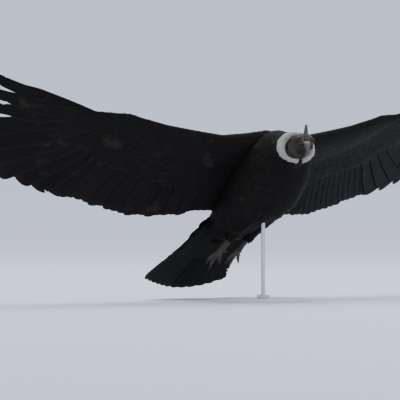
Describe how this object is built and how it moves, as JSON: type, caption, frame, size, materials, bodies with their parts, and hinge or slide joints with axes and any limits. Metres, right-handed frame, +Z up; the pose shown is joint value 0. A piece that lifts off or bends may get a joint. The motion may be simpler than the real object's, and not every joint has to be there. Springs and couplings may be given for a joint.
{
  "type": "andean condor",
  "caption": "Life-size soaring Andean condor, adult male with comb, ruff and spread wings, pitched nose up on a plain disc and rod stand.",
  "frame": {"origin": "middle of the underside of the stand's round foot", "axes": "+X to the bird's left, along its wingspan; +Y towards its tail; +Z up"},
  "size_m": [2.8384, 0.925, 0.9713],
  "materials": {
    "dark_plumage": "sleek black feathers with a faint sheen",
    "flight_feathers": "black vanes, silvery white outer webs on the upper side",
    "ruff_down": "soft white down",
    "bare_skin": "folded dark reddish-grey skin",
    "comb_skin": "wrinkled dark grey-brown comb",
    "bill_horn": "ivory horn, dark at its base",
    "eye": "wet dark brown eye",
    "leg_skin": "pale grey scaled skin, dark claws",
    "stand_paint": "satin grey paint",
    "stand_steel": "satin steel rod and collar"
  },
  "bodies": {
    "root": {"torso": "dark_plumage", "neck": "bare_skin", "ruff": "ruff_down", "head": "bare_skin", "wattle": "bare_skin", "comb": "comb_skin", "upper_bill": "bill_horn", "lower_bill": "bill_horn", "left_eye": "eye", "right_eye": "eye", "left_wing": "flight_feathers", "right_wing": "flight_feathers", "tail": "flight_feathers", "left_thigh": "dark_plumage", "right_thigh": "dark_plumage", "left_foot": "leg_skin", "right_foot": "leg_skin", "stand_base": "stand_paint", "stand_collar": "stand_steel", "stand_rod": "stand_steel"}
  },
  "joints": []
}
